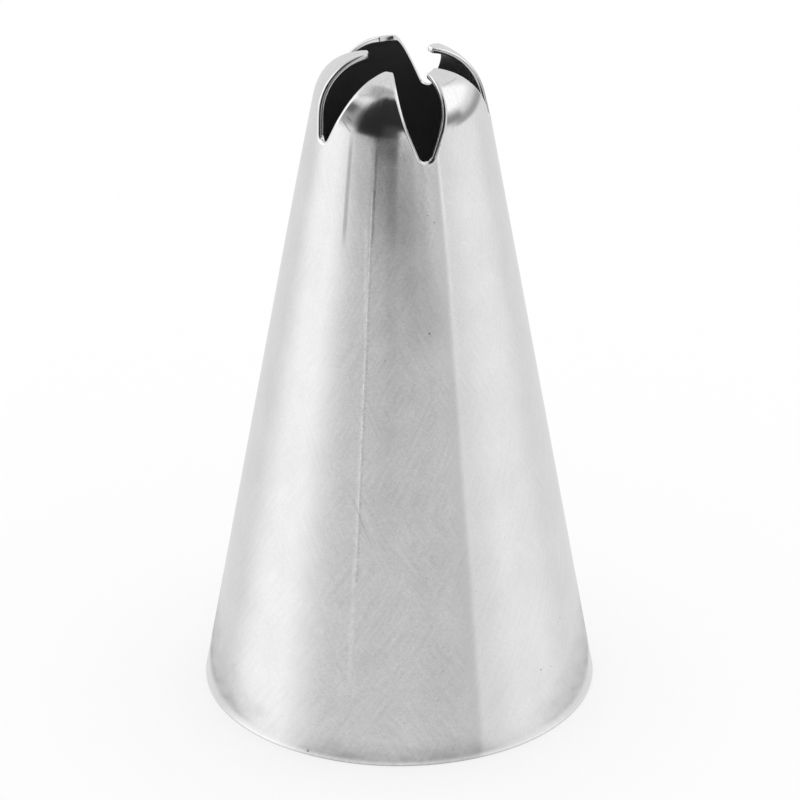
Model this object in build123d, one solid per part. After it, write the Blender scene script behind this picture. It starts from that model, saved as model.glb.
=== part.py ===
from build123d import *

import math
import os

# A piping nozzle: a cone of thin stainless sheet, rolled and closed by one seam weld. Open slots cut its
# upper end into fingers, which are bent inwards over a small opening.
# Millimetres. +Z points up, out of the small end, and the origin is in the middle of the base rim.
# Azimuths are in degrees about +Z. They are zero at the front, towards -Y, and grow towards +X.

# Driving dimensions of the cone, over its outside.
BASE_DIAMETER = 25.0
SHOULDER_DIAMETER = 11.1
SHOULDER_HEIGHT = 41.4
SHEET = 0.35
RIM_EDGE_RADIUS = 0.08

# Driving dimensions of the slots, one entry for each, in order of azimuth from the front one. A slot's
# depth is how far its round bottom lies under the shoulder, measured along +Z.
SLOT_AZIMUTHS = (17.4, 91.5, 161.7, 243.4, 302.1)
SLOT_DEPTHS = (1.65, 1.45, 1.58, 1.60, 1.42)
SLOT_BOTTOM_RADIUS = 0.47

# Driving dimensions of the fingers. Finger n stands between slot n and the next one. Its length runs along
# the outside from the shoulder to the tip. The fingers were bent by hand and differ a little.
FINGER_TIP_AZIMUTHS = (60.5, 125.4, 195.3, 264.9, 339.7)
FINGER_TIP_WIDTHS = (0.89, 0.50, 1.03, 0.60, 0.50)
FINGER_BEND_RADII = (3.10, 3.62, 3.87, 3.89, 3.38)
FINGER_LENGTHS = (4.60, 4.66, 4.08, 5.18, 5.16)

# Driving dimensions of the seam weld, which is ground flush and ends just under the shoulder.
SEAM_AZIMUTH = -15.0
SEAM_WIDTH = 0.25
SEAM_END_BELOW_SHOULDER = 0.4

# How far a cutting tool runs past what it cuts.
OVERRUN = 0.6

# Points on a slot's outline: along the straight wall and the bent one on each side, and round its bottom.
CONE_STATIONS = 3
BEND_STATIONS = 7
ROUND_STATIONS = 7

FULL_TURN = 360.0
FINGERS = len(FINGER_LENGTHS)

# Derived sizes of the cone.
BASE_RADIUS = BASE_DIAMETER / 2
SHOULDER_RADIUS = SHOULDER_DIAMETER / 2
CONE_ANGLE = math.atan2(BASE_RADIUS - SHOULDER_RADIUS, SHOULDER_HEIGHT)

# A slot's tool is a cone over the slot's outline, seen from a point on the axis, between two flat ends.
TOOL_START = SHOULDER_RADIUS / 2
TOOL_END = SHOULDER_RADIUS + max(FINGER_BEND_RADII)
TOOL_TILT = math.pi / 4


def wall_point(along, bend_radius=None):
    """Radius and height of the outside, at a distance along it from the shoulder.

    Below the shoulder the distance is negative and the wall is straight. Above it the wall is an arc that
    starts tangent to the cone and leans in by the distance over the bend radius."""
    if along <= 0:
        radius = SHOULDER_RADIUS - along * math.sin(CONE_ANGLE)
        return radius, SHOULDER_HEIGHT + along * math.cos(CONE_ANGLE)
    tilt = CONE_ANGLE + along / bend_radius
    radius = SHOULDER_RADIUS + bend_radius * (math.cos(tilt) - math.cos(CONE_ANGLE))
    return radius, SHOULDER_HEIGHT + bend_radius * (math.sin(tilt) - math.sin(CONE_ANGLE))


def place(radius, height, azimuth):
    """The point at a radius, a height and an azimuth in radians."""
    return Vector(radius * math.sin(azimuth), -radius * math.cos(azimuth), height)


def turned(shape, azimuth):
    """A shape modelled towards +X, turned about the axis to an azimuth in degrees."""
    return Rot(0, 0, azimuth - FULL_TURN / 4) * shape


def round_centre(slot):
    """Where a slot's round bottom has its centre: the distance from the shoulder, a negative value."""
    return SLOT_BOTTOM_RADIUS - SLOT_DEPTHS[slot] / math.cos(CONE_ANGLE)


def finger_side(finger, side):
    """Points up a finger's side, towards growing azimuth for side 1 and the other way for side -1.

    In the flat sheet the side is straight: the finger's half width grows evenly from its tip down, at the
    slope that makes the side tangent to the round bottom of the slot. The points start where it meets the
    round and end past the tip. The side's lean towards the middle of the slot is returned with them."""
    slot = (finger + 1) % FINGERS if side > 0 else finger
    tip_azimuth = math.radians(FINGER_TIP_AZIMUTHS[finger])
    turn = side * (math.radians(SLOT_AZIMUTHS[slot]) - tip_azimuth) % math.tau
    length = FINGER_LENGTHS[finger]
    tip_half_width = FINGER_TIP_WIDTHS[finger] / 2
    centre = round_centre(slot)
    # The side passes the round's centre at its radius, which gives a quadratic equation for the slope.
    narrowing = turn * math.sin(CONE_ANGLE)
    free = turn * wall_point(centre)[0] - tip_half_width
    run = length - centre
    square = run**2 - SLOT_BOTTOM_RADIUS**2
    half_linear = narrowing * SLOT_BOTTOM_RADIUS**2 - free * run
    constant = free**2 - SLOT_BOTTOM_RADIUS**2 * (1 + narrowing**2)
    slope = (-half_linear - math.sqrt(half_linear**2 - square * constant)) / square
    lean = math.atan(slope - narrowing)
    start = centre - SLOT_BOTTOM_RADIUS * math.sin(lean)
    end = length + OVERRUN
    below = [start * (1 - step / CONE_STATIONS) for step in range(CONE_STATIONS)]
    above = [end * step / BEND_STATIONS for step in range(BEND_STATIONS + 1)]
    points = []
    for along in below + above:
        radius, height = wall_point(along, FINGER_BEND_RADII[finger])
        half_width = tip_half_width + slope * (length - along)
        points.append(place(radius, height, tip_azimuth + side * half_width / radius))
    return points, lean


def slot_round(slot, lean_before, lean_after):
    """Points round a slot's bottom, between the places where its two sides meet the round."""
    first = lean_before - math.pi / 2
    span = math.pi - lean_before - lean_after
    points = []
    for step in range(1, ROUND_STATIONS + 1):
        angle = first + span * step / (ROUND_STATIONS + 1)
        radius, height = wall_point(round_centre(slot) - SLOT_BOTTOM_RADIUS * math.cos(angle))
        azimuth = math.radians(SLOT_AZIMUTHS[slot]) + SLOT_BOTTOM_RADIUS * math.sin(angle) / radius
        points.append(place(radius, height, azimuth))
    return points


def slot_tool(slot):
    """The tool that cuts one slot. Its flat ends are the slot's outline, seen from a point on the axis.

    From that point the slot's bottom is seen square to the wall, and every side is cut towards the axis."""
    before, lean_before = finger_side((slot - 1) % FINGERS, 1)
    after, lean_after = finger_side(slot, -1)
    outline = before[::-1] + slot_round(slot, lean_before, lean_after) + after
    radius, height = wall_point(round_centre(slot))
    eye = Vector(0, 0, height - radius * math.tan(CONE_ANGLE))
    aim = place(math.cos(TOOL_TILT), math.sin(TOOL_TILT), math.radians(SLOT_AZIMUTHS[slot]))
    ends = []
    for distance in (TOOL_START, TOOL_END):
        seen = [eye + (point - eye) * (distance / (point - eye).dot(aim)) for point in outline]
        ends.append(Face(Wire([Spline(*seen), Line(seen[-1], seen[0])])))
    return loft(ends, ruled=True)


def cone_wall():
    """The whole cone up to the shoulder, with the edges of its base rim rounded."""
    slant = Vector(math.sin(CONE_ANGLE), 0, -math.cos(CONE_ANGLE))
    normal = Vector(math.cos(CONE_ANGLE), 0, math.sin(CONE_ANGLE))
    outer_top = Vector(SHOULDER_RADIUS, 0, SHOULDER_HEIGHT)
    inner_top = outer_top - normal * SHEET
    outer_base = Vector(BASE_RADIUS, 0, 0)
    inner_base = inner_top + slant * (inner_top.Z / math.cos(CONE_ANGLE))
    profile = Face(Polyline(outer_base, outer_top, inner_top, inner_base, close=True).wire())
    rim = profile.vertices().sort_by(Axis.Z)[:2]
    return revolve(profile.fillet_2d(RIM_EDGE_RADIUS, rim), Axis.Z)


def bent_wall(finger):
    """The sector of the bent wall that a finger is cut from, between the middles of its two slots."""
    bend_radius = FINGER_BEND_RADII[finger]
    bend = FINGER_LENGTHS[finger] / bend_radius
    centre = Vector(
        SHOULDER_RADIUS - bend_radius * math.cos(CONE_ANGLE),
        SHOULDER_HEIGHT - bend_radius * math.sin(CONE_ANGLE),
    )
    start = math.degrees(CONE_ANGLE)
    outer = CenterArc(centre, bend_radius, start, math.degrees(bend))
    inner = CenterArc(centre, bend_radius - SHEET, start, math.degrees(bend))
    ends = [Line(outer @ 0, inner @ 0), Line(outer @ 1, inner @ 1)]
    profile = Plane.XZ * make_face([outer, inner, *ends])
    first = SLOT_AZIMUTHS[finger]
    width = (SLOT_AZIMUTHS[(finger + 1) % FINGERS] - first) % FULL_TURN
    return turned(revolve(profile, Axis.Z, width), first)


def seam_slab():
    """The straight band that the seam weld fills, from below the rim to its end under the shoulder."""
    top = SHOULDER_HEIGHT - SEAM_END_BELOW_SHOULDER
    corner = (Align.MIN, Align.CENTER, Align.MIN)
    slab = Box(BASE_RADIUS + OVERRUN, SEAM_WIDTH, top + OVERRUN, align=corner)
    return turned(Pos(0, 0, -OVERRUN) * slab, SEAM_AZIMUTH)


def nozzle_shell():
    """The sheet: the cone, open along the seam, with its slots and bent fingers."""
    wall = cone_wall() + [bent_wall(finger) for finger in range(FINGERS)]
    return wall - [slot_tool(slot) for slot in range(FINGERS)] - seam_slab()


def seam_weld():
    """The weld bead, which fills the open seam and is flush with both faces of the sheet."""
    return cone_wall() & seam_slab()


os.makedirs("parts", exist_ok=True)
for name, piece in {"nozzle_shell": nozzle_shell(), "seam_weld": seam_weld()}.items():
    export_step(piece, f"parts/{name}.step")
    print(name, [round(solid.volume, 3) for solid in piece.solids()])
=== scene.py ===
"""A piping nozzle of thin polished stainless sheet, rolled, slotted and bent by hand, in a plain studio.

Metres. +Z points up, out of the small end, and the origin is in the middle of the base rim. Azimuths
turn about +Z. They are zero at the front, towards -Y, and grow towards +X."""

import math

import bmesh
import bpy
import numpy as np
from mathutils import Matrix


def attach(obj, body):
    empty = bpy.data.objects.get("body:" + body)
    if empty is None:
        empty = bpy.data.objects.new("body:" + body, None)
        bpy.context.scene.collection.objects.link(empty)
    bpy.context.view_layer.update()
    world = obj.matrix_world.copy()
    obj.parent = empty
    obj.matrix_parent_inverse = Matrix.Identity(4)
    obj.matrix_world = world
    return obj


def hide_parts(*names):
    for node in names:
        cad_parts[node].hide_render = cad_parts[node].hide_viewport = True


bl_info = {
    "name": "Piping Nozzle",
    "version": (1, 0, 0),
    "blender": (4, 5, 0),
    "location": "3D View > Sidebar > Nozzle",
    "description": "Builds a slotted piping nozzle, its finish and a plain studio",
    "category": "Add Mesh",
}

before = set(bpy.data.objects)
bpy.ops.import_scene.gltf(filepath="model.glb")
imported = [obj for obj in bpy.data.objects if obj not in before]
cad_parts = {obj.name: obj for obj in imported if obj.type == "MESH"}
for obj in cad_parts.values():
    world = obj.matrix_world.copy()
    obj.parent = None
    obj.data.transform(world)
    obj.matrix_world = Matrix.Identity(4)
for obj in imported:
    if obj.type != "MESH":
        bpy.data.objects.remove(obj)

MILLIMETRE = 0.001
FINGERS = 5
WHITE = (1.0, 1.0, 1.0, 1.0)

# Steps along a finger's outline: round the slot's bottom, up the straight side, and round the tip's corner.
ROUND_STEPS = 10
SIDE_STEPS = 52
CORNER_STEPS = 5
# Steps across a finger, down the cone, and round a rounded edge.
ACROSS_STEPS = 56
CONE_STEPS = 36
EDGE_STEPS = 6
# Steps along the seam's bead and over its crown.
BEAD_ROWS = 90
BEAD_STEPS = 10
# How thick the bead still is at its ends, where it has sunk into the sheet, and how far its long edges lie
# under the sheet's faces, as a share of its outer crown.
BEAD_END_SHARE = 0.9
SUNK_SHARE = 1 / 3
# How far above the shoulder the seam's peak has died away, in thicknesses of the sheet.
PEAK_END = 3

# The power that puts the cone's steps closer together at its top.
CONE_SPACING = 1.7
# How much of the spacing across a finger is even. The rest is closer together at the edges and the seam.
EVEN_SHARE = 0.3
# Points that are nearer to each other than this, in metres, are merged.
MERGE_DISTANCE = 2e-7
# The attributes that mark the points of cut edges and of the sheet's inside.
CUT_NAME = "cut"
INSIDE_NAME = "inside"


def millimetres(*values):
    """Values given in millimetres, in metres."""
    return tuple(value * MILLIMETRE for value in values)


def degrees(*values):
    """Values given in degrees, in radians."""
    return tuple(math.radians(value) for value in values)


def setting(name, description, values, **words):
    """A property that holds one number, or a vector where there are more."""
    if len(values) == 1:
        return bpy.props.FloatProperty(name=name, description=description, default=values[0], **words)
    return bpy.props.FloatVectorProperty(
        name=name, description=description, default=values, size=len(values), **words
    )


def length_setting(name, description, *values):
    """A property that holds lengths, with its defaults in millimetres."""
    return setting(name, description, millimetres(*values), unit="LENGTH", precision=5)


def angle_setting(name, description, *values):
    """A property that holds angles, with its defaults in degrees."""
    return setting(name, description, degrees(*values), unit="ROTATION")


def share_setting(name, description, value):
    """A property that holds a share between 0 and 1."""
    return setting(name, description, (value,), min=0, max=1)


class NozzleSheetSettings(bpy.types.PropertyGroup):
    """Sizes of the sheet. Finger n stands between slot n and the next one."""

    base_diameter: length_setting("Base diameter", "Outside diameter of the wide end", 25.0)
    shoulder_diameter: length_setting("Shoulder diameter", "Outside diameter where the fingers start", 11.1)
    shoulder_height: length_setting("Shoulder height", "Height where the fingers start", 41.4)
    thickness: length_setting("Sheet", "Thickness of the sheet", 0.35)
    rim_edge: length_setting("Rim edge", "Radius of the base rim's two edges", 0.08)
    edge_width: length_setting("Edge width", "Width of the outer edges' rounding", 0.25)
    edge_depth: length_setting("Edge depth", "Depth of that rounding, across the sheet", 0.16)
    tip_edge: length_setting("Tip edge", "Width of that rounding at the finger tips", 0.1)
    edge_fade: length_setting("Edge fade", "How far from the tips that rounding has its full width", 1.2)
    inner_edge: length_setting("Inner edge", "Radius of the inner edges along slots and tips", 0.04)
    tip_corner: length_setting("Tip corner", "Radius of a finger tip's corners", 0.14)
    slot_azimuths: angle_setting("Slot azimuths", "Where the slots are", 17.4, 91.5, 161.7, 243.4, 302.1)
    slot_depths: length_setting("Slot depths", "Shoulder to slot bottom", 1.65, 1.45, 1.58, 1.6, 1.42)
    slot_radius: length_setting("Slot radius", "Radius of the slots' round bottoms", 0.47)
    tip_azimuths: angle_setting("Tip azimuths", "Where the tips are", 60.5, 125.4, 195.3, 264.9, 339.7)
    tip_widths: length_setting("Tip widths", "Widths of the tips", 0.89, 0.5, 1.03, 0.6, 0.5)
    bend_radii: length_setting("Bend radii", "Outside radii of the fingers", 3.1, 3.62, 3.87, 3.89, 3.38)
    early_bend: length_setting("Early bend", "How far the wall leans in at the shoulder", 0.07)
    early_reach: length_setting("Early reach", "How far under the shoulder the wall starts to lean in", 9.0)
    early_gap: length_setting("Early gap", "How far beside a slot the wall stays straight", 1.5)
    early_end: length_setting("Early end", "Where the wall is back in its plain shape", 4.0)
    finger_lengths: length_setting("Finger lengths", "Shoulder to tips", 4.6, 4.66, 4.08, 5.18, 5.16)


class NozzleSeamSettings(bpy.types.PropertyGroup):
    """Sizes of the seam weld, which closes the rolled sheet."""

    azimuth: angle_setting("Azimuth", "Where the seam is", -15.0)
    width: length_setting("Width", "Width of the bead", 0.25)
    end_below_shoulder: length_setting("End below shoulder", "Where the bead ends", 0.4)
    crown: length_setting("Crown", "How far the ground bead stands proud outside", 0.002)
    inner_crown: length_setting("Inner crown", "How far the bead stands proud inside", 0.05)
    peak: length_setting("Peak", "How far the sheet's two ends stand out at the seam", 0.02)
    peak_reach: length_setting("Peak reach", "How fast that dies away beside the seam", 1.2)
    end_fade: length_setting("End fade", "Over what length the bead sinks in at its top", 4.0)
    foot_fade: length_setting("Foot fade", "Over what length the bead sinks in above the rim", 16.0)


class NozzleFinishSettings(bpy.types.PropertyGroup):
    """The finish of the steel."""

    steel: setting("Steel", "Colour of the steel", (0.85, 0.85, 0.85), subtype="COLOR", min=0, max=1)
    roughness: share_setting("Roughness", "Roughness of the polished steel", 0.1)
    weld_roughness: share_setting("Weld roughness", "Roughness of the ground weld", 0.14)
    cut_roughness: share_setting("Cut roughness", "Roughness of the cut edges", 0.16)
    inside_roughness: share_setting("Inside roughness", "Roughness of the unpolished inside", 0.45)
    # Painted shade: this share darkens the inside's colour to stand for the dim light inside the cone.
    inside_painted_shade: share_setting("Inside tone", "How light the inside is beside the outside", 0.5)
    strokes: share_setting("Strokes", "Strength of the polishing strokes", 1.0)
    speckle: share_setting("Speckle", "Strength of the fine speckle", 1.0)
    clouds: share_setting("Clouds", "Strength of the cloudy patches in the polish", 1.0)
    waves: share_setting("Waves", "Strength of the waves in the sheet", 1.0)
    # The marks include painted shade, a painted dark reflection and painted highlights, so this strength
    # scales those too.
    marks: share_setting("Marks", "Strength of the pits, creases and scratches", 1.0)


class NozzleStudioSettings(bpy.types.PropertyGroup):
    """The floor and the camera."""

    floor_radius: length_setting("Floor radius", "Radius of the round floor", 1500.0)
    camera_distance: length_setting("Camera distance", "From the camera to the point it looks at", 811.0)
    camera_height_angle: angle_setting("Camera elevation", "How steeply the camera looks down", 28.32)
    target: length_setting("Target", "The point that the camera looks at", 0.041, 0.0, 19.831)
    lens: setting("Lens", "Focal length in millimetres", (571.2,))


def cone_lean(size):
    """The angle between the cone's wall and the axis."""
    return math.atan2((size.base_diameter - size.shoulder_diameter) / 2, size.shoulder_height)


def wall_profile(size, along, bend_radius=1.0):
    """Radius, height and tilt of the sheet's outside, at a distance along it from the shoulder.

    Under the shoulder, where the distance is negative, the wall is the straight cone, whatever the bend
    radius. Above it the tilt grows by the distance over that radius, so the wall is an arc that starts
    tangent to the cone."""
    lean = cone_lean(size)
    tilt = lean + np.maximum(along, 0) / bend_radius
    below = np.minimum(along, 0)
    inwards = bend_radius * (np.cos(tilt) - math.cos(lean)) - below * math.sin(lean)
    upwards = bend_radius * (np.sin(tilt) - math.sin(lean)) + below * math.cos(lean)
    return size.shoulder_diameter / 2 + inwards, size.shoulder_height + upwards, tilt


def at_azimuth(azimuth, radial, vertical):
    """Vectors with a radial and a vertical part, turned to an azimuth."""
    return np.stack((radial * np.sin(azimuth), -radial * np.cos(azimuth), vertical + 0 * azimuth), -1)


def wall(size, along, azimuth, bend_radius=1.0):
    """Points of the sheet's outside and its outward normals there. The profile is turned about the axis."""
    radius, height, tilt = wall_profile(size, along, bend_radius)
    return at_azimuth(azimuth, radius, height), at_azimuth(azimuth, np.cos(tilt), np.sin(tilt))


def unrolled(size, points, bend_radius, near):
    """The azimuth and the distance along the wall of points that lie on it: the inverse of wall()."""
    lean = cone_lean(size)
    reach = np.hypot(points[..., 0], points[..., 1]) - size.shoulder_diameter / 2
    rise = points[..., 2] - size.shoulder_height
    straight = rise * math.cos(lean) - reach * math.sin(lean)
    tilt = np.arctan2(rise + bend_radius * math.sin(lean), reach + bend_radius * math.cos(lean))
    azimuth = np.arctan2(points[..., 0], -points[..., 1])
    azimuth = (azimuth - near + math.pi) % math.tau - math.pi + near
    return azimuth, np.where(straight > 0, (tilt - lean) * bend_radius, straight)


def finger_side(size, finger, side):
    """A finger's outline on one side, as azimuths and distances along the wall, and its direction there.

    It goes round the slot's bottom from its middle, up the side, and round the tip's corner. In the flat
    sheet the bottom is a circle and the side a straight line, which is tangent to it: the half width grows
    from the tip down by a slope that a quadratic equation gives. The corner is an arc between the side and
    the tip's straight edge. Side 1 is the one towards growing azimuth, and -1 the other. The direction has
    a part towards growing azimuth and one up the wall, where a width that stays the same already turns,
    because the radius shrinks by the sine of the tilt."""
    lean = cone_lean(size)
    slot = (finger + 1) % FINGERS if side > 0 else finger
    tip = size.tip_azimuths[finger]
    turn = side * (size.slot_azimuths[slot] - tip) % math.tau
    length = size.finger_lengths[finger]
    bend_radius = size.bend_radii[finger]
    tip_half = size.tip_widths[finger] / 2
    round_radius = size.slot_radius
    centre = round_radius - size.slot_depths[slot] / math.cos(lean)
    narrowing = turn * math.sin(lean)
    free = turn * wall_profile(size, centre, bend_radius)[0] - tip_half
    run = length - centre
    square = run**2 - round_radius**2
    half_linear = narrowing * round_radius**2 - free * run
    constant = free**2 - round_radius**2 * (1 + narrowing**2)
    slope = (-half_linear - math.sqrt(half_linear**2 - square * constant)) / square
    side_lean = math.atan(slope - narrowing)

    angle = np.linspace(0, math.pi / 2 - side_lean, ROUND_STEPS + 1)
    round_along = centre - round_radius * np.cos(angle)
    round_width = round_radius * np.sin(angle)
    radius, _, tilt = wall_profile(size, round_along, bend_radius)
    round_azimuth = turn - round_width / radius
    round_across = -np.cos(angle) - round_width / radius * np.sin(tilt) * np.sin(angle)

    stretch = math.hypot(1, slope)
    corner = size.tip_corner
    corner_along = length - corner
    corner_width = tip_half + slope * corner - corner * stretch
    sweep = np.linspace(math.atan(slope), math.pi / 2, CORNER_STEPS + 1)
    side_along = np.linspace(round_along[-1], corner_along + corner * slope / stretch, SIDE_STEPS + 1)
    side_along = np.concatenate((side_along[1:-1], corner_along + corner * np.sin(sweep)))
    side_width = tip_half + slope * (length - side_along)
    side_width[SIDE_STEPS - 1:] = corner_width + corner * np.cos(sweep)
    radius, _, tilt = wall_profile(size, side_along, bend_radius)
    heading = np.concatenate((np.full(SIDE_STEPS - 1, sweep[0]), sweep))
    side_across = side_width / radius * np.sin(tilt) * np.cos(heading) - np.sin(heading)
    azimuth = tip + side * np.concatenate((round_azimuth, side_width / radius))
    across = side * np.concatenate((round_across, side_across))
    rising = np.concatenate((np.sin(angle), np.cos(heading)))
    return azimuth, np.concatenate((round_along, side_along)), across, rising


def shares_across(anchor):
    """Shares of the way across a finger, from 0 to 1, with one on the anchor.

    Each of the two halves mixes an even spacing with a cosine one, which is closer at the half's ends."""
    even = np.linspace(0, 1, ACROSS_STEPS // 2 + 1)
    close = (1 - np.cos(math.pi * even)) / 2
    half = EVEN_SHARE * even + (1 - EVEN_SHARE) * close
    return np.concatenate((anchor * half, anchor + (1 - anchor) * half[1:]))


def unit(vectors):
    """Vectors scaled to a length of one."""
    return vectors / np.linalg.norm(vectors, axis=-1, keepdims=True)


def smooth(value, low, high):
    """A smooth step from 0 at the low value to 1 at the high one."""
    part = np.clip((value - low) / (high - low), 0, 1)
    return part * part * (3 - 2 * part)


def turned_by(azimuth, other):
    """The angle between two azimuths, without its sign."""
    return np.abs((azimuth - other + math.pi) % math.tau - math.pi)


def hand_work(size, seam, azimuth, along):
    """How far the wall is pushed outwards from its plain shape, at an azimuth and a distance along it.

    The sheet's two ends come together in a low peak at the seam, which dies away beside it and above the
    shoulder. Between the slots the wall leans in a little before the shoulder: by a square of the distance
    from where it starts, which runs out smoothly above the shoulder and is gone again near the tips."""
    radius = wall_profile(size, np.minimum(along, 0))[0]
    beside = turned_by(azimuth, seam.azimuth) * radius
    fading = 1 - smooth(along, -seam.end_below_shoulder, size.thickness * PEAK_END)
    peak = seam.peak * np.exp(-beside / seam.peak_reach) * fading
    rise = np.clip(1 + along / size.early_reach, 0, 1) ** 2
    run_out = 1 - np.exp(-np.maximum(along, 0) / size.early_gap)
    early = rise + 2 * size.early_gap / size.early_reach * run_out
    early = early * (1 - smooth(along, 0, size.early_end))
    for slot in size.slot_azimuths:
        early = early * (1 - np.exp(-(turned_by(azimuth, slot) * radius / size.early_gap) ** 2))
    return peak - size.early_bend * early


def worked_wall(size, seam, azimuth, along, depth=0.0, bend_radius=1.0):
    """Points of the sheet with its hand work, at a depth under the outside."""
    points, normals = wall(size, along, azimuth, bend_radius)
    return points + (hand_work(size, seam, azimuth, along)[..., None] - depth) * normals


def grid_faces(rows, columns, start=0):
    """Corner numbers of the four-sided faces of a grid of points in rows and columns."""
    index = np.arange(rows * columns).reshape(rows, columns) + start
    return np.stack((index[:-1, :-1], index[:-1, 1:], index[1:, 1:], index[1:, :-1]), -1).reshape(-1, 4)


def merged_mesh(name, points, faces, marks):
    """A mesh with its doubled points merged and its faces outwards, and how many open edges it has.

    Marks are named attributes, with a share for each point."""
    mesh = bpy.data.meshes.new(name)
    mesh.from_pydata(points.tolist(), [], faces)
    for attribute, shares in marks.items():
        mesh.attributes.new(attribute, "FLOAT", "POINT").data.foreach_set("value", shares)
    work = bmesh.new()
    work.from_mesh(mesh)
    bmesh.ops.remove_doubles(work, verts=work.verts, dist=MERGE_DISTANCE)
    bmesh.ops.recalc_face_normals(work, faces=work.faces)
    open_edges = sum(1 for edge in work.edges if len(edge.link_faces) != 2)
    work.to_mesh(mesh)
    work.free()
    return mesh, open_edges


def new_piece(name, patches, caps, marks, material, node):
    """A closed piece made of grids of points, that stands for a CAD node.

    A patch is an array of points in rows and columns, and a cap a loop of points that gets one face."""
    points, faces, start = [], [], 0
    for patch in patches:
        rows, columns = patch.shape[:2]
        points.append(patch.reshape(-1, 3))
        faces += grid_faces(rows, columns, start).tolist()
        start += rows * columns
    for cap in caps:
        points.append(cap)
        faces.append(list(range(start, start + len(cap))))
        start += len(cap)
    mesh, open_edges = merged_mesh(name, np.concatenate(points), faces, marks)
    if open_edges:
        raise RuntimeError(f"{name} has {open_edges} open edges")
    mesh.polygons.foreach_set("use_smooth", np.ones(len(mesh.polygons), bool))
    mesh.materials.append(material)
    piece = bpy.data.objects.new(name, mesh)
    bpy.context.scene.collection.objects.link(piece)
    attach(piece, "root")
    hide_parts(node)
    return piece


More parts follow.
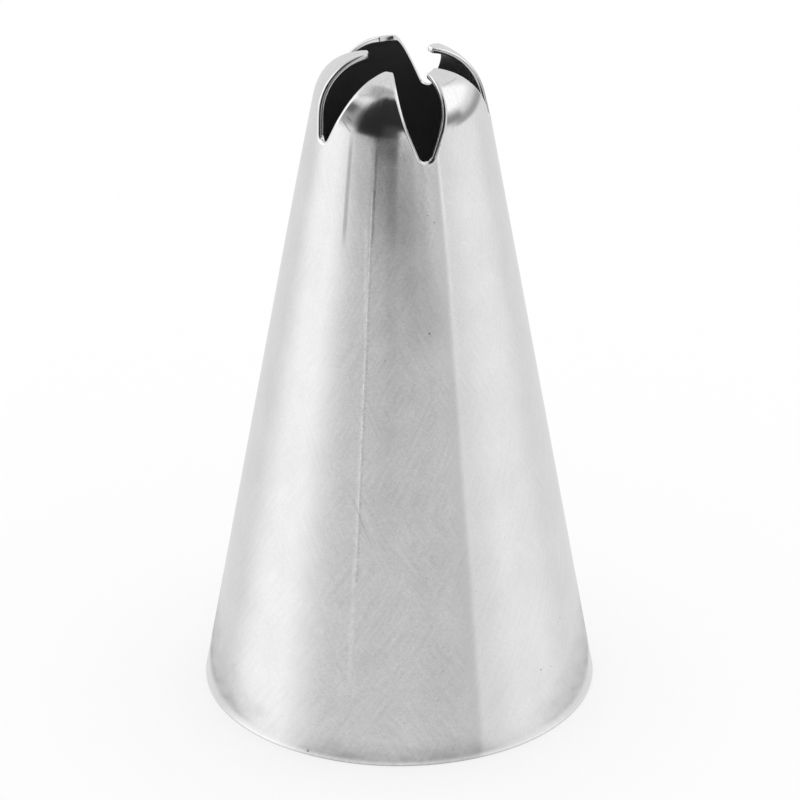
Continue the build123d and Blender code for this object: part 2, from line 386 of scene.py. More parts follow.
def shell_patches(size, seam):
    """The grids of the whole sheet: the fingers outside and inside, the cone, and the cut edge round them.

    The cut edge is a profile carried along the whole outline of fingers and slots. As on any punched sheet,
    a quarter ellipse rounds its outer edge, narrower towards the tips, and a smaller one its inner edge.
    Its ends are the edges of the grids outside and inside, which are straight blends between a finger's
    two sides."""
    lean = cone_lean(size)
    anchors = np.full(FINGERS, 0.5)
    starts = np.array(size.slot_azimuths[:])
    widths = np.diff(np.append(starts, starts[0] + math.tau))
    into = (seam.azimuth - starts) % math.tau
    holder = int(np.argmin(into))
    anchors[holder] = into[holder] / widths[holder]

    runs = []
    for finger in range(FINGERS):
        left = finger_side(size, finger, -1)
        right = finger_side(size, finger, 1)
        share = shares_across(anchors[finger])[1:-1]
        tip_azimuth = left[0][-1] * (1 - share) + right[0][-1] * share
        tip = (tip_azimuth, left[1][-1] + 0 * share, 1 + 0 * share, 0 * share)
        back = (right[0], right[1], -right[2], -right[3])
        run = [np.concatenate((first, middle, last[:0:-1])) for first, middle, last in zip(left, tip, back)]
        for values in (size.bend_radii, size.tip_azimuths, size.finger_lengths):
            run.append(np.full(len(run[0]), values[finger]))
        runs.append(run)
    count = len(runs[0][0])
    azimuth, along, across, rising, bend, tip, length = np.concatenate(runs, 1)

    outline = wall(size, along, azimuth, bend)[0]
    tilt = wall_profile(size, along, bend)[2]
    up = at_azimuth(azimuth, -np.sin(tilt), np.cos(tilt))
    beside = np.stack((np.cos(azimuth), np.sin(azimuth), 0 * azimuth), -1)
    outwards = unit(across[:, None] * up - rising[:, None] * beside)
    growth = smooth(length - along, size.tip_corner, size.edge_fade)[:, None]
    edge_width = size.tip_edge + (size.edge_width - size.tip_edge) * growth
    inset_azimuth, inset_along = unrolled(size, outline - edge_width * outwards, bend, tip)

    quarter = np.linspace(0, math.pi / 2, EDGE_STEPS + 1)
    corner = quarter[::2]
    inner_depth = size.thickness - size.inner_edge * (1 - np.sin(corner))
    inner_back = size.inner_edge * (1 - np.cos(corner)) / size.edge_width
    depth = np.concatenate((size.edge_depth * (1 - np.cos(quarter)), inner_depth, inner_depth[-1:]))
    back = np.concatenate((1 - np.sin(quarter), inner_back, [1.0]))
    strip = []
    for step_depth, step_back in zip(depth, back):
        edge = worked_wall(size, seam, azimuth, along, step_depth, bend)
        inner = worked_wall(size, seam, inset_azimuth, inset_along, step_depth, bend)
        strip.append(edge * (1 - step_back) + inner * step_back)
    strip = np.stack(strip)
    patches = [np.concatenate((strip, strip[:, :1]), 1)]

    rows = ROUND_STEPS + SIDE_STEPS + CORNER_STEPS + 1
    cone_azimuth, cone_top = [], []
    for finger in range(FINGERS):
        share = shares_across(anchors[finger])
        first = finger * count
        left = np.arange(first, first + rows)
        last_tip = first + rows - 1 + ACROSS_STEPS
        right = np.arange(last_tip + rows - 1, last_tip - 1, -1) % len(azimuth)
        right_azimuth = inset_azimuth[right]
        if finger == FINGERS - 1:
            right_azimuth[0] += math.tau
        grid_azimuth = inset_azimuth[left, None] * (1 - share) + right_azimuth[:, None] * share
        grid_along = inset_along[left, None] * (1 - share) + inset_along[right, None] * share
        grid_azimuth[-1] = inset_azimuth[left[-1]:last_tip + 1]
        grid_along[-1] = inset_along[left[-1]:last_tip + 1]
        for under in (0.0, size.thickness):
            patches.append(worked_wall(size, seam, grid_azimuth, grid_along, under, size.bend_radii[finger]))
        cone_azimuth.append(grid_azimuth[0, :-1])
        cone_top.append(grid_along[0, :-1])

    # The cone's walls outside and inside end just above the rim, which has an arc at each of its edges.
    azimuth = np.concatenate(cone_azimuth + [cone_azimuth[0][:1]])
    top = np.concatenate(cone_top + [cone_top[0][:1]])
    part = np.linspace(0, 1, CONE_STEPS + 1)[:, None] ** CONE_SPACING
    edge = size.rim_edge
    walls, radii, feet = [], [], []
    for under, wide in ((0.0, edge), (size.thickness, size.thickness - edge)):
        radius = size.base_diameter / 2 - (wide + edge * math.sin(lean)) / math.cos(lean)
        reach = radius - size.shoulder_diameter / 2
        foot = (edge - size.shoulder_height) * math.cos(lean) - reach * math.sin(lean)
        walls.append(worked_wall(size, seam, azimuth + 0 * part, top * (1 - part) + foot * part, under))
        radii.append(radius)
        feet.append(foot)
    push = hand_work(size, seam, azimuth, feet[0])[:, None] * wall(size, feet[0], azimuth)[1]
    rim_rows = []
    for radius, first, last in zip(radii, (lean, -math.pi / 2), (-math.pi / 2, lean - math.pi)):
        for angle in np.linspace(first, last, EDGE_STEPS + 1):
            row = at_azimuth(azimuth, radius + edge * math.cos(angle), edge + edge * math.sin(angle))
            rim_rows.append(row + push)
    patches.append(np.concatenate((walls[0], np.stack(rim_rows[1:-1]), walls[1][::-1])))
    return patches


def shell_marks(patches):
    """Which points of the sheet's grids lie on a cut edge, and which on the inside, as shares."""
    rows = [np.arange(len(patch))[:, None] + np.zeros(patch.shape[1]) for patch in patches]
    strip, *fingers, cone = rows
    cut = [(strip > 0) & (strip < len(strip) - 1)] + [0 * each for each in rows[1:]]
    inside = [strip >= len(strip) - 2]
    inside += [0 * each + number % 2 for number, each in enumerate(fingers)]
    inside.append(cone >= len(cone) - CONE_STEPS)
    marks = {}
    for name, parts in ((CUT_NAME, cut), (INSIDE_NAME, inside)):
        marks[name] = np.concatenate([part.ravel() for part in parts]).astype(float)
    return marks


def bead_patches(size, seam):
    """The seam's bead: a closed profile, crowned outside and inside, carried up the cone's wall."""
    lean = cone_lean(size)
    across = np.linspace(-1, 1, BEAD_STEPS + 1)
    crown = 1 - across**2
    sunk = seam.crown * SUNK_SHARE
    offset = np.concatenate((
        (seam.crown + sunk) * crown - sunk,
        sunk - size.thickness - (seam.inner_crown + sunk) * crown,
    ))
    across = np.concatenate((across, across[::-1])) * seam.width / 2
    foot = (size.rim_edge - size.shoulder_height) / math.cos(lean)
    along = np.linspace(foot, -seam.end_below_shoulder, BEAD_ROWS + 1)[:, None]
    azimuth = seam.azimuth + across / wall_profile(size, along)[0]
    points, normals = wall(size, along + 0 * across, azimuth)
    push = hand_work(size, seam, seam.azimuth + 0 * azimuth, along + 0 * across)
    whole = smooth(along, along[0], along[0] + seam.foot_fade)
    whole = whole * smooth(along, along[-1], along[-1] - seam.end_fade)
    middle = -size.thickness / 2
    offset = middle + (offset - middle) * (BEAD_END_SHARE + (1 - BEAD_END_SHARE) * whole)
    rows = points + (push + offset)[..., None] * normals
    return [np.concatenate((rows, rows[:, :1]), 1)], [rows[0], rows[-1, ::-1]]


def connect(tree, socket, value):
    """Gives a socket a value, or links another socket to it."""
    if isinstance(value, bpy.types.NodeSocket):
        tree.links.new(value, socket)
    else:
        socket.default_value = value


def node_of(tree, kind, inputs=(), **attributes):
    """A new node with its attributes set. Inputs are pairs of a name and a value or a socket."""
    node = tree.nodes.new(kind)
    for name, value in attributes.items():
        setattr(node, name, value)
    for name, value in inputs:
        connect(tree, node.inputs[name], value)
    return node


def calculate(tree, operation, *values):
    """The result of one Math node."""
    return node_of(tree, "ShaderNodeMath", enumerate(values), operation=operation).outputs[0]


def times(tree, first, second, plus=0.0):
    """The product of two numbers, with a third added."""
    return calculate(tree, "MULTIPLY_ADD", first, second, plus)


def step_between(tree, value, low, high):
    """A smooth step from 0 at the low value to 1 at the high one, which may be the smaller of the two."""
    inputs = (("Value", value), ("From Min", low), ("From Max", high))
    return node_of(tree, "ShaderNodeMapRange", inputs, interpolation_type="SMOOTHSTEP").outputs["Result"]


def blend(tree, first, second, share):
    """A plain blend of two numbers by a share."""
    inputs = (("A", first), ("B", second), ("Factor", share))
    return node_of(tree, "ShaderNodeMix", inputs, data_type="FLOAT").outputs["Result"]


def new_group(name, inputs, outputs):
    """A new group of shader nodes. Its inputs are pairs of a name and a value, and its outputs names."""
    tree = bpy.data.node_groups.new(name, "ShaderNodeTree")
    for socket, value in inputs:
        made = tree.interface.new_socket(socket, in_out="INPUT", socket_type="NodeSocketFloat")
        made.default_value = value
    for socket in outputs:
        tree.interface.new_socket(socket, in_out="OUTPUT", socket_type="NodeSocketFloat")
    return tree, tree.nodes.new("NodeGroupInput").outputs, tree.nodes.new("NodeGroupOutput").inputs


def noise(tree, place, scale, detail=2.0, distortion=0.0):
    """The value of a noise texture, less its mean, at a scale per metre."""
    inputs = (("Vector", place), ("Scale", scale), ("Detail", detail), ("Distortion", distortion))
    return calculate(tree, "SUBTRACT", node_of(tree, "ShaderNodeTexNoise", inputs).outputs["Fac"], 0.5)


def azimuth_of(tree, vector):
    """The azimuth of a vector and its height."""
    parts = node_of(tree, "ShaderNodeSeparateXYZ", (("Vector", vector),)).outputs
    return calculate(tree, "ARCTAN2", parts["X"], times(tree, parts["Y"], -1.0)), parts["Z"]


def sheet_place(tree):
    """Object coordinates, the azimuth from the seam on, from 0 to a full turn, and the height."""
    place = tree.nodes.new("ShaderNodeTexCoord").outputs["Object"]
    azimuth, height = azimuth_of(tree, place)
    seam = bpy.context.scene.nozzle_seam.azimuth
    azimuth = calculate(tree, "WRAP", calculate(tree, "SUBTRACT", azimuth, seam), math.tau, 0.0)
    return place, azimuth, height


def stroke_noise(tree, azimuth, height, slope):
    """Noise drawn out into fine strokes that rise at an angle across the unrolled sheet."""
    distance = times(tree, azimuth, STROKE_RADIUS)
    cosine, sine = math.cos(slope), math.sin(slope)
    across = times(tree, height, cosine, times(tree, distance, -sine))
    along = times(tree, height, sine, times(tree, distance, cosine))
    along = times(tree, along, STROKE_SHARE)
    place = node_of(tree, "ShaderNodeCombineXYZ", (("X", across), ("Y", along))).outputs[0]
    return noise(tree, place, STROKE_SCALE)


# Noise scales per metre: polishing strokes and how much slower they change along their length, speckle, the
# patches where a second set of strokes lies over the first, clouds in the polish, and waves in the sheet.
STROKE_SCALE = 4200.0
STROKE_SHARE = 0.09
STROKE_RADIUS = 0.009
STROKE_SLOPES = (63.0, 118.0)
SPECKLE_SCALE = 5200.0
PATCH_SCALE = 260.0
CLOUD_SCALE = 330.0
WAVE_SCALE = 280.0
# The worn front: how far its middle is from the seam and where it ends on both sides, in degrees, and how
# strong strokes and speckle are outside it and in it.
WORN_MIDDLE = 11.0
WORN_ENDS = (19.0, 30.0)
WORN_SHARES = (0.65, 1.5)
# Detail and distortion of the speckle, and the noise between which the second set of strokes takes over.
SPECKLE_DETAIL = (3.0, 1.2)
PATCH_BORDER = (-0.03, 0.1)
# How much strokes, speckle and clouds change the tone, and clouds and stretching the roughness.
STROKE_TONE = 0.17
SPECKLE_TONE = 0.25
CLOUD_TONE = 0.14
CLOUD_ROUGHNESS = 0.05
STRETCHED_ROUGHNESS = 0.06
# Heights of the strokes, the speckle and the waves, and how many times higher strokes and waves are where
# the sheet was stretched. That is whole at a height over the shoulder, and starts lower by the blend.
STROKE_RELIEF = 7e-7
SPECKLE_RELIEF = 3e-7
WAVE_RELIEF = 9e-6
STRETCHED_TIMES = 3
STRETCHED_OVER = 0.0006
STRETCHED_BLEND = 0.002
# How many times more speckle the weld has.
WELD_SPECKLE = 2.0


def finish_group():
    """The polish of the sheet: its tone, its roughness and its relief, which is a height in metres.

    Fine strokes in two directions lie over each other in patches, with speckle, clouds and low waves. Above
    the bend height, where the sheet was stretched, it is rougher and more wavy."""
    inputs = (
        ("Roughness", 0.1), ("Strokes", 1.0), ("Speckle", 1.0), ("Clouds", 1.0), ("Waves", 1.0),
        ("Bend Height", 0.042),
    )
    tree, given, wanted = new_group("sheet_finish", inputs, ("Tone", "Roughness", "Relief"))
    place, azimuth, height = sheet_place(tree)
    first, second = (stroke_noise(tree, azimuth, height, slope) for slope in degrees(*STROKE_SLOPES))
    patch = step_between(tree, noise(tree, place, PATCH_SCALE), *PATCH_BORDER)
    beside = calculate(tree, "SUBTRACT", azimuth, math.radians(WORN_MIDDLE))
    beside = calculate(tree, "ABSOLUTE", calculate(tree, "WRAP", beside, math.pi, -math.pi))
    full, end = degrees(*WORN_ENDS)
    worn = blend(tree, *WORN_SHARES, step_between(tree, beside, end, full))
    strokes = times(tree, blend(tree, first, second, patch), given["Strokes"])
    strokes = times(tree, strokes, worn)
    speckle = times(tree, noise(tree, place, SPECKLE_SCALE, *SPECKLE_DETAIL), given["Speckle"])
    speckle = times(tree, speckle, worn)
    clouds = times(tree, noise(tree, place, CLOUD_SCALE), given["Clouds"])
    low = calculate(tree, "SUBTRACT", given["Bend Height"], STRETCHED_BLEND)
    stretched = step_between(tree, height, low, given["Bend Height"])
    tone = times(tree, strokes, STROKE_TONE, 1.0)
    tone = times(tree, speckle, SPECKLE_TONE, tone)
    connect(tree, wanted["Tone"], times(tree, clouds, CLOUD_TONE, tone))
    rough = times(tree, clouds, CLOUD_ROUGHNESS, given["Roughness"])
    rough = times(tree, stretched, STRETCHED_ROUGHNESS, rough)
    connect(tree, wanted["Roughness"], rough)
    more = blend(tree, 1.0, STRETCHED_TIMES, stretched)
    waves = times(tree, noise(tree, place, WAVE_SCALE, 1.0), given["Waves"])
    relief = times(tree, waves, WAVE_RELIEF)
    relief = times(tree, strokes, STROKE_RELIEF, relief)
    relief = times(tree, relief, more)
    connect(tree, wanted["Relief"], times(tree, speckle, SPECKLE_RELIEF, relief))
    return tree


# Small dark pits: azimuth in degrees, height and radius in millimetres, and how dark.
PITS = (
    (14.3, 28.6, 0.09, 0.85), (16.3, 36.3, 0.06, 0.5), (19.9, 35.8, 0.07, 0.5), (18.9, 33.1, 0.1, 0.18),
    (14.2, 30.6, 0.11, 0.2), (12.8, 29.2, 0.09, 0.2), (14.1, 28.1, 0.09, 0.2), (27.1, 40.7, 0.07, 0.6),
    (50.2, 4.3, 0.085, 0.6), (55.0, 4.1, 0.06, 0.6), (64.6, 6.6, 0.07, 0.6), (27.2, 11.1, 0.06, 0.3),
    (9.5, 12.5, 0.06, 0.5), (14.4, 7.8, 0.05, 0.45), (16.0, 7.5, 0.06, 0.45), (17.2, 7.1, 0.05, 0.4),
    (14.1, 6.7, 0.05, 0.4), (14.0, 6.2, 0.06, 0.5), (7.7, 5.0, 0.07, 0.25), (12.1, 4.3, 0.1, 0.2),
    (1.4, 2.9, 0.06, 0.4), (0.2, 3.2, 0.05, 0.35), (-20.6, 10.7, 0.05, 0.4), (-6.5, 26.9, 0.045, 0.5),
    (-17.3, 5.1, 0.06, 0.25), (-28.0, 0.3, 0.14, 0.5),
)
# Dark lines: two ends as azimuth in degrees and height in millimetres, half width and length of the faded
# ends in millimetres, and how dark. The scratch is a real mark. The others are painted shade in the crease,
# the folds and along the top of the seam, and a painted dark reflection right of the seam.
DARK_LINES = (
    ("scratch", (-18.0, 17.7), (-9.5, 14.4), 0.035, 0.2, 0.25),
    # Painted shade in the crease and the two folds at the top left.
    ("crease", (-33.0, 41.8), (-31.0, 33.4), 0.21, 2.0, 0.33),
    ("upper fold", (-40.8, 42.3), (-33.2, 42.0), 0.08, 0.3, 0.35),
    ("lower fold", (-42.3, 42.0), (-32.6, 41.3), 0.09, 0.3, 0.35),
    # A painted dark reflection: the cone right of the seam darkened where it would mirror the dark open
    # front.
    ("painted dark reflection right of the seam", (1.0, 40.0), (17.0, 26.0), 1.7, 3.5, 0.16),
    # Painted shade along a fold at the top of a finger.
    ("right fold", (44.0, 43.69), (70.0, 43.64), 0.05, 0.3, 0.12),
    # Painted shade along the top of the seam.
    ("seam at the top", (-14.6, 41.2), (-14.5, 34.0), 0.13, 1.2, 0.28),
)
# Light lines, in the same way, with how light: a painted highlight on the border beside the seam.
PAINTED_SEAM_HIGHLIGHTS = (
    ("upper border", (-18.7, 36.0), (-15.7, 27.6), 0.18, 0.8, 0.11),
    ("lower border", (-15.8, 28.2), (-16.1, 5.0), 0.2, 1.0, 0.08),
)
# A painted highlight over a painted dark edge at the rim, where the rounded edge would mirror the shade on
# the floor: heights in millimetres where the dark one fades out from and to, where the light one is whole
# and where it has ended, and how much darker and lighter they are.
RIM_LINE = (0.05, 0.11, 0.19, 0.31)
RIM_PAINTED_SHADE = 0.4
RIM_PAINTED_HIGHLIGHT = 0.1
# Random pits: how many cells of the pattern a metre holds, the share of them that have a pit, its radius
# in cells and how dark it is.
PIT_SCALE = 650.0
PIT_CHANCE = 0.12
PIT_SHARE = 0.075
PIT_DEPTH = 0.3
# How much of a pit's radius and of a line's half width is whole.
PIT_CORE = 1 / 3
LINE_CORE = 1 / 4


def cone_radius(height):
    """The radius of the cone's outside at a height."""
    size = bpy.context.scene.nozzle_sheet
    return size.base_diameter / 2 - height * math.tan(cone_lean(size))


def on_cone(azimuth, height):
    """A point of the cone's outside, from degrees and millimetres."""
    height = height * MILLIMETRE
    return at_azimuth(np.array(math.radians(azimuth)), cone_radius(height), height).tolist()


def line_mask(tree, azimuth, height, first, last, half_width, fade):
    """1 on a straight line between two places on the unrolled cone, 0 away from it."""
    seam = bpy.context.scene.nozzle_seam.azimuth
    radius = cone_radius((first[1] + last[1]) / 2 * MILLIMETRE)
    start, end = (
        np.array((math.radians(angle) * radius, up * MILLIMETRE)) for angle, up in (first, last)
    )
    length = np.linalg.norm(end - start)
    way = (end - start) / length
    beside = calculate(tree, "ADD", azimuth, seam - start[0] / radius)
    distance = times(tree, calculate(tree, "WRAP", beside, math.pi, -math.pi), radius)
    rise = calculate(tree, "SUBTRACT", height, start[1])
    along = times(tree, distance, way[0], times(tree, rise, way[1]))
    across = times(tree, distance, -way[1], times(tree, rise, way[0]))
    across = calculate(tree, "ABSOLUTE", across)
    mask = step_between(tree, across, half_width * MILLIMETRE, half_width * MILLIMETRE * LINE_CORE)
    mask = times(tree, mask, step_between(tree, along, 0.0, fade * MILLIMETRE))
    return times(tree, mask, step_between(tree, along, length, length - fade * MILLIMETRE))


def marks_and_painted_light_group():
    """Pits and a scratch, with painted shade in creases and folds, a painted dark reflection, and painted
    highlights beside the seam and at the rim: how light the sheet is there.
    """
    tree, given, wanted = new_group("sheet_marks_and_painted_light", (("Strength", 1.0),), ("Lightness",))
    place, azimuth, height = sheet_place(tree)
    dark = 0.0
    for angle, rise, radius, depth in PITS:
        inputs = ((0, place), (1, on_cone(angle, rise)))
        distance = node_of(tree, "ShaderNodeVectorMath", inputs, operation="DISTANCE").outputs["Value"]
        spot = step_between(tree, distance, radius * MILLIMETRE, radius * MILLIMETRE * PIT_CORE)
        dark = calculate(tree, "MAXIMUM", dark, times(tree, spot, depth))
    for _, *line, depth in DARK_LINES:
        mask = line_mask(tree, azimuth, height, *line)
        dark = calculate(tree, "MAXIMUM", dark, times(tree, mask, depth))
    cells = node_of(tree, "ShaderNodeTexVoronoi", (("Vector", place), ("Scale", PIT_SCALE))).outputs
    chosen = calculate(tree, "LESS_THAN", cells["Color"], PIT_CHANCE)
    spot = step_between(tree, cells["Distance"], PIT_SHARE, PIT_SHARE * PIT_CORE)
    dark = calculate(tree, "MAXIMUM", dark, times(tree, times(tree, spot, chosen), PIT_DEPTH))
    # Painted highlight on the border beside the seam.
    for _, *line, gain in PAINTED_SEAM_HIGHLIGHTS:
        dark = times(tree, line_mask(tree, azimuth, height, *line), -gain, dark)
    # Painted shade at the rim's bottom edge, and a painted highlight over it.
    edge, low, middle, high = millimetres(*RIM_LINE)
    dark = times(tree, step_between(tree, height, low, edge), RIM_PAINTED_SHADE, dark)
    below, above = (step_between(tree, height, end, middle) for end in (low, high))
    dark = times(tree, times(tree, below, above), -RIM_PAINTED_HIGHLIGHT, dark)
    dark = times(tree, dark, given["Strength"])
    connect(tree, wanted["Lightness"], calculate(tree, "SUBTRACT", 1.0, dark))
    return tree


def group_of(name, make):
    """The node group with a name, made when it is first asked for."""
    return bpy.data.node_groups.get(name) or make()


def steel_material(name, finish, weld):
    """Polished steel with strokes, speckle, pits and waves, rougher on the weld and on cut edges.

    The inside is rougher, and its colour is darkened as painted shade for the dim light inside the cone."""
    material = bpy.data.materials.new(name)
    material.use_nodes = True
    tree = material.node_tree
    shader = tree.nodes["Principled BSDF"]
    shader.inputs["Metallic"].default_value = 1.0
    inputs = (
        ("Roughness", finish.weld_roughness if weld else finish.roughness), ("Strokes", finish.strokes),
        ("Speckle", finish.speckle * (WELD_SPECKLE if weld else 1.0)), ("Clouds", finish.clouds),
        ("Waves", finish.waves),
        ("Bend Height", bpy.context.scene.nozzle_sheet.shoulder_height + STRETCHED_OVER),
    )
    group = group_of("sheet_finish", finish_group)
    polish = node_of(tree, "ShaderNodeGroup", inputs, node_tree=group).outputs
    group = group_of("sheet_marks_and_painted_light", marks_and_painted_light_group)
    marks = node_of(tree, "ShaderNodeGroup", (("Strength", finish.marks),), node_tree=group).outputs
    cut, inside = (
        node_of(tree, "ShaderNodeAttribute", attribute_name=name).outputs["Fac"]
        for name in (CUT_NAME, INSIDE_NAME)
    )
    # The marks' lightness carries painted shade and painted highlights as well as real pits and a scratch.
    tone = times(tree, polish["Tone"], marks["Lightness"])
    # Painted shade: the inside's colour is darkened for the dim light inside the cone.
    tone = times(tree, tone, blend(tree, 1.0, finish.inside_painted_shade, inside))
    inputs = ((0, tuple(finish.steel)), ("Scale", tone))
    colour = node_of(tree, "ShaderNodeVectorMath", inputs, operation="SCALE").outputs["Vector"]
    connect(tree, shader.inputs["Base Color"], colour)
    rough = blend(tree, polish["Roughness"], finish.cut_roughness, cut)
    connect(tree, shader.inputs["Roughness"], blend(tree, rough, finish.inside_roughness, inside))
    inputs = (("Strength", 1.0), ("Distance", 1.0), ("Height", polish["Relief"]))
    connect(tree, shader.inputs["Normal"], node_of(tree, "ShaderNodeBump", inputs).outputs["Normal"])
    return material


# What polished metal sees of the studio. Each view has its lowest azimuth, its highest one, its lowest
# elevation and its highest one, each with how soft that end is, in degrees, and the brightness. Later ones
# lie over earlier ones.
STUDIO_VIEWS = (
    ("front of the table", (-50, 20), (47.8, 5), (-95, 1), (-5, 4), 0.65),
    ("front of the table, right", (12, 16), (47.8, 5), (-95, 1), (-5, 4), 0.6),
    ("left glow on the table", (-112, 36), (-66, 28), (-95, 1), (-5, 4), 1.02),
    ("right glow on the table", (66, 30), (112, 34), (-95, 1), (-5, 4), 0.885),
    ("right gap over the table", (78, 16), (140, 12), (-6, 4), (7, 12), 0.36),
    ("right gap, front", (62, 6), (91, 9), (3, 9), (25, 9), 0.26),
    ("right soft box", (74, 20), (132, 14), (20, 18), (64, 12), 1.15),
    ("left gap over the table", (-84, 8), (-52, 12), (2, 10), (40, 8), 0.35),
    ("left gap, top", (-84, 6), (-66, 10), (22, 10), (40, 6), 0.09),
    ("left soft box", (-94, 16), (-55, 14), (42, 8), (66, 8), 0.5),
    ("left soft box, middle", (-84, 14), (-61, 12), (46, 8), (61, 8), 0.92),
    ("left window", (-122, 12), (-85, 5), (-6, 6), (50, 12), 1.25),
    ("left of the ceiling", (-150, 20), (-52, 12), (64, 8), (95, 1), 0.42),
    ("edge of the ceiling", (-75, 20), (20, 20), (72, 6), (80, 6), 0.42),
    ("open front", (-57, 7), (30, 10), (-7.9, 3.4), (75, 6), 0.014),
    ("light in the open front", (-20, 12), (-4, 12), (-6.5, 4), (18, 14), 0.05),
    ("strip over the table, left", (-62, 5), (-32, 14), (-9.0, 2.2), (-5.5, 3), 0.54),
    ("strip over the table, middle", (-32, 12), (-13, 10), (-8.5, 1.5), (-7.0, 0.8), 0.38),
    ("strip over the table", (-13, 10), (17, 12), (-8.6, 1.6), (-7.05, 0.8), 0.27),
    ("light by the front, left", (-3, 6), (14, 8), (-6.75, 0.5), (8, 8), 0.7),
    ("light by the front", (7, 8), (20, 8), (-7.1, 0.7), (8, 8), 0.72),
    ("light by the front, right", (15, 10), (42, 10), (-7.7, 1.1), (-5.2, 1.5), 0.78),
    ("fringe of the light", (49.0, 1.6), (51.7, 1.8), (-9.7, 1.2), (-5, 4), 1.15),
)
STUDIO_LEVEL = 0.77
AMBIENT = 1.0


def studio_world():
    """White to the camera, plain light for matt surfaces, and bright and dark sides for metal."""
    world = bpy.data.worlds.new("studio")
    world.use_nodes = True
    tree = world.node_tree
    direction = tree.nodes.new("ShaderNodeTexCoord").outputs["Generated"]
    azimuth, rise = azimuth_of(tree, direction)
    azimuth = calculate(tree, "DEGREES", azimuth)
    elevation = calculate(tree, "DEGREES", calculate(tree, "ARCSINE", rise))
    level = STUDIO_LEVEL
    for _, west, east, low, high, brightness in STUDIO_VIEWS:
        share = 1.0
        ends = ((azimuth, west, 1), (azimuth, east, -1), (elevation, low, 1), (elevation, high, -1))
        for value, (end, soft), way in ends:
            edge = step_between(tree, value, end - way * soft / 2, end + way * soft / 2)
            share = times(tree, share, edge)
        level = blend(tree, level, brightness, share)
    path = tree.nodes.new("ShaderNodeLightPath").outputs
    plain = calculate(tree, "MAXIMUM", path["Is Camera Ray"], path["Is Transmission Ray"])
    strength = blend(tree, AMBIENT, 1.0, plain)
    strength = blend(tree, strength, level, path["Is Glossy Ray"])
    background = tree.nodes["Background"]
    background.inputs["Color"].default_value = WHITE
    connect(tree, background.inputs["Strength"], strength)
    bpy.context.scene.world = world


# The floor: points round its edge, its rings as shares of its radius, how much of its white is its own to
# the camera, and its matt colour.
FLOOR_STEPS = 97
FLOOR_RINGS = (0.0, 0.1, 0.4, 1.0)
FLOOR_OWN = 0.62
FLOOR_MATT = 0.38
# Polished metal sees a shade on the floor near the rim: how much that takes away, in front and where it is
# least, the azimuths where it starts to thin, is thinnest and is whole again, and the distances from the
# axis where it is whole and where it has ended.
SHADE_SHARE = 0.24
SHADE_LEAST = 0.05
SHADE_AZIMUTHS = (26.0, 38.0, 50.0, 64.0)
SHADE_START = 0.0125
SHADE_END = 0.0205
# How much deeper it is close to the rim, and where that has ended.
DEEP_TIMES = 0.6
DEEP_END = 0.0148
# A noise varies the distances: its scale, and how far.
SHADE_NOISE_SCALE = 420.0
SHADE_UNEVEN = 0.0055
# The floor is clear up to the rim: where the shade starts, and where it is whole.
RIM_CLEAR = (0.0129, 0.0138)
# Under the nozzle, up to a radius, metal sees the floor at a level of its own. This is painted shade: the
# floor in the nozzle's shadow, shown to metal as a dim glow.
INSIDE_RADIUS = 0.0121
INSIDE_LEVEL = 0.04
# The nearest and the farthest that the camera shows, in metres.
CAMERA_CLIP = (0.05, 20.0)


def floor_material():
    """A pale floor that keeps the nozzle's shadow, with only the shade near the nozzle shown to metal."""
    material = bpy.data.materials.new("floor_paper")
    material.use_nodes = True
    tree = material.node_tree
    matt = tree.nodes["Principled BSDF"]
    matt.inputs["Base Color"].default_value = (FLOOR_MATT, FLOOR_MATT, FLOOR_MATT, 1.0)
    matt.inputs["Roughness"].default_value = 1.0
    matt.inputs["Specular IOR Level"].default_value = 0.0
    path = tree.nodes.new("ShaderNodeLightPath").outputs
    matt.inputs["Emission Color"].default_value = WHITE
    own = times(tree, path["Is Camera Ray"], FLOOR_OWN)
    connect(tree, matt.inputs["Emission Strength"], own)
    place = tree.nodes.new("ShaderNodeTexCoord").outputs["Object"]
    distance = node_of(tree, "ShaderNodeVectorMath", ((0, place),), operation="LENGTH").outputs["Value"]
    shade = node_of(tree, "ShaderNodeEmission", (("Color", WHITE),))
    inside = calculate(tree, "LESS_THAN", distance, INSIDE_RADIUS)
    connect(tree, shade.inputs["Strength"], times(tree, inside, INSIDE_LEVEL))
    clear = tree.nodes.new("ShaderNodeBsdfTransparent").outputs[0]
    azimuth = calculate(tree, "ABSOLUTE", azimuth_of(tree, place)[0])
    start, full, thinner, end = degrees(*SHADE_AZIMUTHS)
    light = times(tree, step_between(tree, azimuth, start, full), step_between(tree, azimuth, end, thinner))
    depth = blend(tree, SHADE_SHARE, SHADE_LEAST, light)
    uneven = times(tree, noise(tree, place, SHADE_NOISE_SCALE), SHADE_UNEVEN, distance)
    near, deep = (step_between(tree, uneven, end, SHADE_START) for end in (SHADE_END, DEEP_END))
    near = times(tree, deep, DEEP_TIMES, near)
    near = times(tree, near, times(tree, depth, step_between(tree, distance, *RIM_CLEAR)))
    near = calculate(tree, "MAXIMUM", near, inside)
    seen = node_of(tree, "ShaderNodeMixShader", ((0, near), (1, clear), (2, shade.outputs[0]))).outputs[0]
    metal = calculate(tree, "MAXIMUM", path["Is Glossy Ray"], path["Is Transmission Ray"])
    mixed = node_of(tree, "ShaderNodeMixShader", ((0, metal), (1, matt.outputs[0]), (2, seen))).outputs[0]
    tree.links.new(mixed, tree.nodes["Material Output"].inputs["Surface"])
    return material


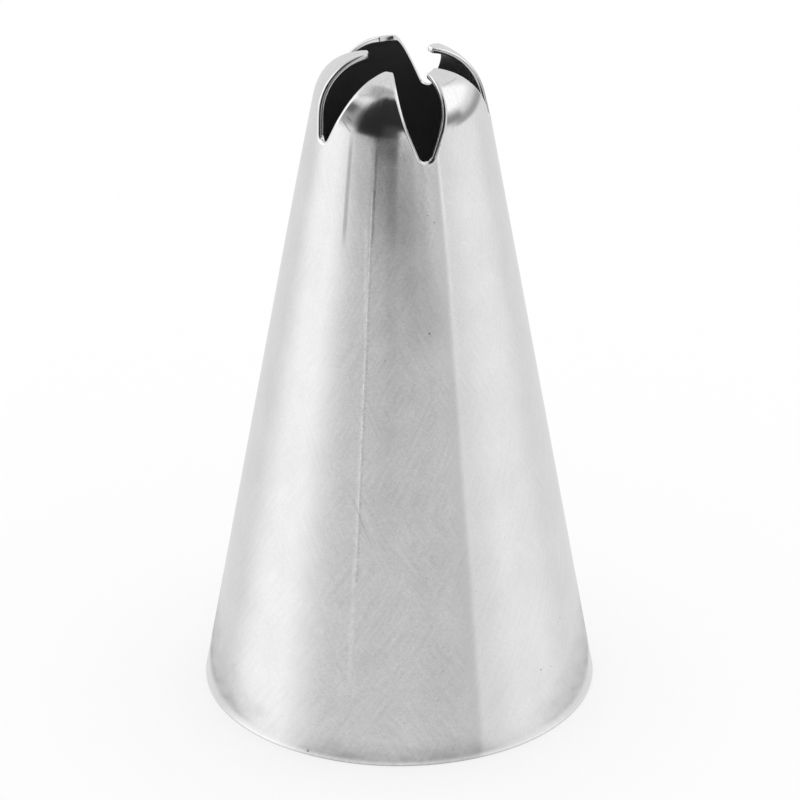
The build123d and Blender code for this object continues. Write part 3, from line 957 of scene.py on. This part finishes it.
class NOZZLE_OT_shell(bpy.types.Operator):
    """Builds the polished sheet with its fingers."""

    bl_idname = "nozzle.shell"
    bl_label = "Sheet with Fingers"

    def execute(self, context):
        scene = context.scene
        material = steel_material("polished_steel", scene.nozzle_finish, False)
        patches = shell_patches(scene.nozzle_sheet, scene.nozzle_seam)
        marks = shell_marks(patches)
        new_piece("sheet_with_fingers", patches, [], marks, material, "nozzle_shell")
        return {"FINISHED"}


class NOZZLE_OT_seam(bpy.types.Operator):
    """Builds the ground bead that closes the seam."""

    bl_idname = "nozzle.seam"
    bl_label = "Seam Bead"

    def execute(self, context):
        scene = context.scene
        material = steel_material("ground_weld", scene.nozzle_finish, True)
        patches, caps = bead_patches(scene.nozzle_sheet, scene.nozzle_seam)
        new_piece("seam_bead", patches, caps, {}, material, "seam_weld")
        return {"FINISHED"}


class NOZZLE_OT_studio(bpy.types.Operator):
    """Sets up the floor, the light and the camera."""

    bl_idname = "nozzle.studio"
    bl_label = "Studio"

    def execute(self, context):
        scene = context.scene
        studio = scene.nozzle_studio
        angle = np.linspace(0, math.tau, FLOOR_STEPS)
        radius = np.array(FLOOR_RINGS)[:, None] * studio.floor_radius
        points = at_azimuth(angle + 0 * radius, radius, 0 * radius)
        faces = grid_faces(*points.shape[:2]).tolist()
        mesh, _ = merged_mesh("floor", points.reshape(-1, 3), faces, {})
        mesh.materials.append(floor_material())
        floor = bpy.data.objects.new("floor", mesh)
        scene.collection.objects.link(floor)
        studio_world()

        camera = bpy.data.objects.new("camera", bpy.data.cameras.new("camera"))
        camera.data.lens = studio.lens
        camera.data.clip_start, camera.data.clip_end = CAMERA_CLIP
        elevation = studio.camera_height_angle
        away = np.array((0.0, -math.cos(elevation), math.sin(elevation))) * studio.camera_distance
        camera.location = np.array(studio.target[:]) + away
        camera.rotation_euler = (math.pi / 2 - elevation, 0, 0)
        scene.collection.objects.link(camera)
        scene.camera = camera
        scene.view_settings.view_transform = "Standard"
        return {"FINISHED"}


class NOZZLE_PT_build(bpy.types.Panel):
    """Lists the nozzle's pieces and their settings."""

    bl_idname = "NOZZLE_PT_build"
    bl_label = "Piping Nozzle"
    bl_space_type = "VIEW_3D"
    bl_region_type = "UI"
    bl_category = "Nozzle"

    def draw(self, context):
        for group, operator in PANEL_ROWS:
            box = self.layout.box()
            settings = getattr(context.scene, group)
            for name in settings.__annotations__:
                box.prop(settings, name)
            if operator:
                box.operator(operator)


SETTINGS = {
    "nozzle_sheet": NozzleSheetSettings,
    "nozzle_seam": NozzleSeamSettings,
    "nozzle_finish": NozzleFinishSettings,
    "nozzle_studio": NozzleStudioSettings,
}
PANEL_ROWS = (
    ("nozzle_sheet", NOZZLE_OT_shell.bl_idname),
    ("nozzle_seam", NOZZLE_OT_seam.bl_idname),
    ("nozzle_finish", ""),
    ("nozzle_studio", NOZZLE_OT_studio.bl_idname),
)
CLASSES = (*SETTINGS.values(), NOZZLE_OT_shell, NOZZLE_OT_seam, NOZZLE_OT_studio, NOZZLE_PT_build)


def register():
    for each in CLASSES:
        bpy.utils.register_class(each)
    for name, group in SETTINGS.items():
        setattr(bpy.types.Scene, name, bpy.props.PointerProperty(type=group))


def unregister():
    for name in SETTINGS:
        delattr(bpy.types.Scene, name)
    for each in reversed(CLASSES):
        bpy.utils.unregister_class(each)


def main():
    """Builds every piece and the studio."""
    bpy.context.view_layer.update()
    register()
    bpy.ops.nozzle.studio()
    bpy.ops.nozzle.shell()
    bpy.ops.nozzle.seam()


if __name__ == "__main__":
    main()
